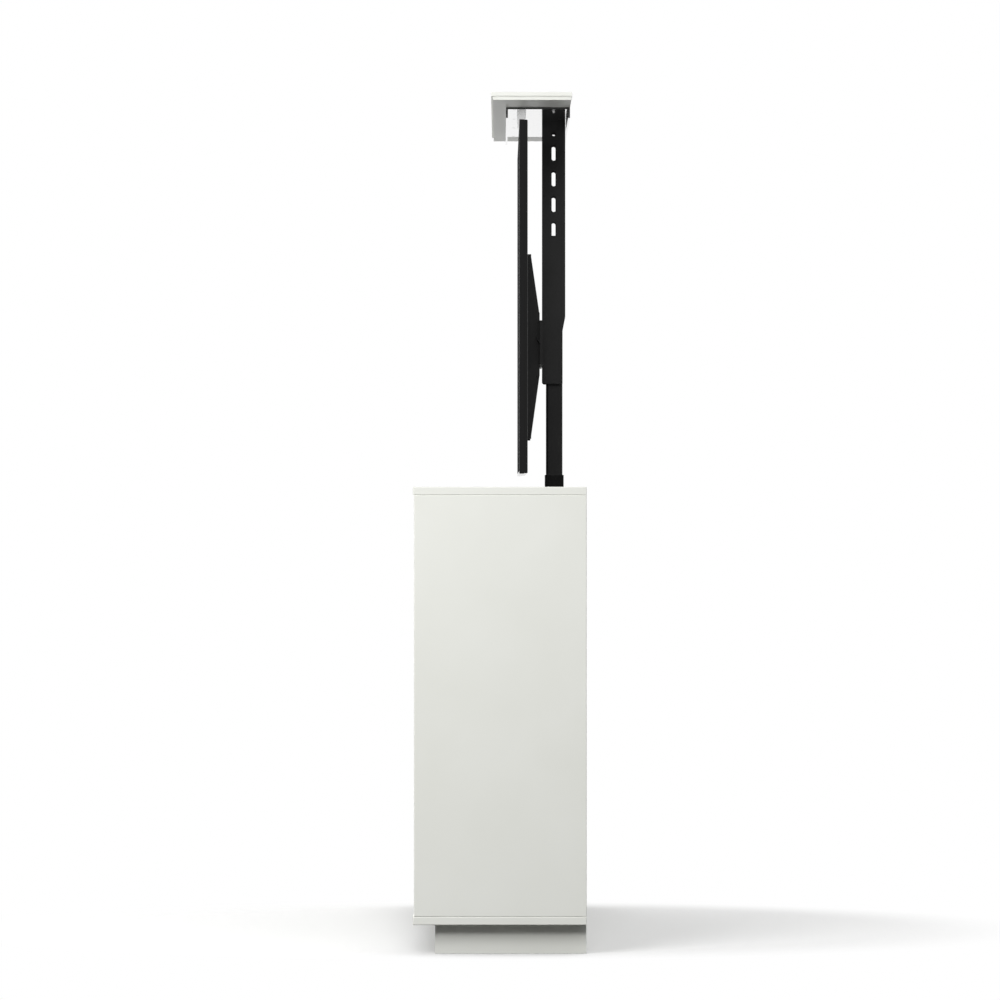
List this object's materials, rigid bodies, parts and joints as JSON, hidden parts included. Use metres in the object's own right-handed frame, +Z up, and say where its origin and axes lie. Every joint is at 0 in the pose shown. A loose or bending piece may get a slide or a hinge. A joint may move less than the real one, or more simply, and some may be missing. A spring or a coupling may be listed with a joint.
{
  "type": "tv lift cabinet",
  "caption": "Lacquered sideboard cabinet with push-open doors and shelves in front of a telescopic lift that raises a flat television and its strip of the top.",
  "frame": {"origin": "middle of the cabinet's footprint, on the floor", "axes": "+X to the right seen from the front, -Y is the doors' side and +Y the wall's side, +Z up; at rest the lift is fully raised and the doors are shut"},
  "size_m": [1.6, 0.402, 1.9992],
  "materials": {
    "lacquer": "board in satin off-white lacquer",
    "back_board": "board with a matt off-white facing",
    "fastener": "zinc-plated steel",
    "black_fastener": "black oxide steel",
    "black_coat": "satin black powder coat on steel",
    "gloss_black": "gloss black, nearly a mirror at a shallow angle",
    "tv_rim": "black anodised aluminium, polished",
    "tv_screen": "dark screen with a matt anti-glare surface",
    "tv_plastic": "textured black plastic",
    "spindle_steel": "greased bright steel",
    "nut_plastic": "natural acetal",
    "gear_housing": "die-cast housing, dark",
    "motor_can": "plated steel can",
    "black_plastic": "fine-textured black plastic",
    "latch_plastic": "light grey plastic"
  },
  "bodies": {
    "cabinet": {"back_panel_left": "back_board", "back_panel_right": "back_board", "back_post_left": "back_board", "back_post_right": "back_board", "back_rail": "back_board", "back_screws": "fastener", "base_plate_bolts": "fastener", "bottom_panel": "lacquer", "cable_outlet": "black_plastic", "centre_divider": "lacquer", "control_box": "black_plastic", "door_pivot_pins": "fastener", "drive_motor": "motor_can", "gearbox": "gear_housing", "latch_housings": "latch_plastic", "lift_base_plate": "black_coat", "outer_tube": "black_coat", "partition_panel": "lacquer", "plinth_cross_rail": "lacquer", "plinth_front": "lacquer", "plinth_left": "lacquer", "plinth_rear": "lacquer", "plinth_right": "lacquer", "power_inlet": "black_plastic", "service_panel": "back_board", "shelf_left_lower": "lacquer", "shelf_left_upper": "lacquer", "shelf_pins": "fastener", "shelf_right_lower": "lacquer", "shelf_right_upper": "lacquer", "side_panel_left": "lacquer", "side_panel_right": "lacquer", "top_panel": "lacquer"},
    "lift_head": {"inner_tube": "black_coat", "inner_nut_block": "nut_plastic", "riser_bracket": "black_coat", "riser_spacer": "black_coat", "bracket_screws": "black_fastener", "lid_channel": "gloss_black", "lid_panel": "lacquer", "lid_screws": "black_fastener", "mount_plate": "black_coat", "mount_arm_left": "black_coat", "mount_arm_right": "black_coat", "tv_screws": "black_fastener", "tv_frame": "tv_rim", "tv_screen": "tv_screen", "tv_rear_cover": "tv_plastic"},
    "lift_middle": {"middle_tube": "black_coat", "middle_nut_block": "nut_plastic"},
    "lower_screw": {"lower_spindle": "spindle_steel"},
    "upper_screw": {"upper_spindle": "spindle_steel"},
    "door_1": {"door_1": "lacquer"},
    "plunger_1": {"latch_plunger_1": "latch_plastic"},
    "door_2": {"door_2": "lacquer"},
    "plunger_2": {"latch_plunger_2": "latch_plastic"},
    "door_3": {"door_3": "lacquer"},
    "plunger_3": {"latch_plunger_3": "latch_plastic"},
    "door_4": {"door_4": "lacquer"},
    "plunger_4": {"latch_plunger_4": "latch_plastic"}
  },
  "joints": [
    {"name": "head_slide", "type": "slide", "parent": "lift_middle", "child": "lift_head", "axis": [0, 0, 1], "range_m": [-0.4581, 0]},
    {"name": "middle_slide", "type": "slide", "parent": "cabinet", "child": "lift_middle", "axis": [0, 0, 1], "range_m": [-0.4581, 0]},
    {"name": "lower_spin", "type": "hinge", "parent": "cabinet", "child": "lower_screw", "pos_m": [0, 0.1336, 0.5], "axis": [0, 0, 1], "range_deg": [0, 8250]},
    {"name": "upper_spin", "type": "hinge", "parent": "lift_middle", "child": "upper_screw", "pos_m": [0, 0.1336, 0.8], "axis": [0, 0, 1], "range_deg": [0, 8250]},
    {"name": "door_hinge_1", "type": "hinge", "parent": "cabinet", "child": "door_1", "pos_m": [-0.7582, -0.189, 0.5], "axis": [0, 0, -1], "range_deg": [0, 90]},
    {"name": "door_hinge_2", "type": "hinge", "parent": "cabinet", "child": "door_2", "pos_m": [-0.0323, -0.189, 0.5], "axis": [0, 0, 1], "range_deg": [0, 90]},
    {"name": "door_hinge_3", "type": "hinge", "parent": "cabinet", "child": "door_3", "pos_m": [0.0323, -0.189, 0.5], "axis": [0, 0, -1], "range_deg": [0, 90]},
    {"name": "door_hinge_4", "type": "hinge", "parent": "cabinet", "child": "door_4", "pos_m": [0.7582, -0.189, 0.5], "axis": [0, 0, 1], "range_deg": [0, 90]},
    {"name": "plunger_slide_1", "type": "slide", "parent": "cabinet", "child": "plunger_1", "axis": [0, 1, 0], "range_m": [0, 0.003], "stiffness_N_per_m": 500},
    {"name": "plunger_slide_2", "type": "slide", "parent": "cabinet", "child": "plunger_2", "axis": [0, 1, 0], "range_m": [0, 0.003], "stiffness_N_per_m": 500},
    {"name": "plunger_slide_3", "type": "slide", "parent": "cabinet", "child": "plunger_3", "axis": [0, 1, 0], "range_m": [0, 0.003], "stiffness_N_per_m": 500},
    {"name": "plunger_slide_4", "type": "slide", "parent": "cabinet", "child": "plunger_4", "axis": [0, 1, 0], "range_m": [0, 0.003], "stiffness_N_per_m": 500}
  ],
  "couplings": [
    {"joint": "middle_slide", "follows": "head_slide", "ratio": 1},
    {"joint": "lower_spin", "follows": "head_slide", "rad_per_m": -314.16},
    {"joint": "upper_spin", "follows": "head_slide", "rad_per_m": -314.16}
  ]
}
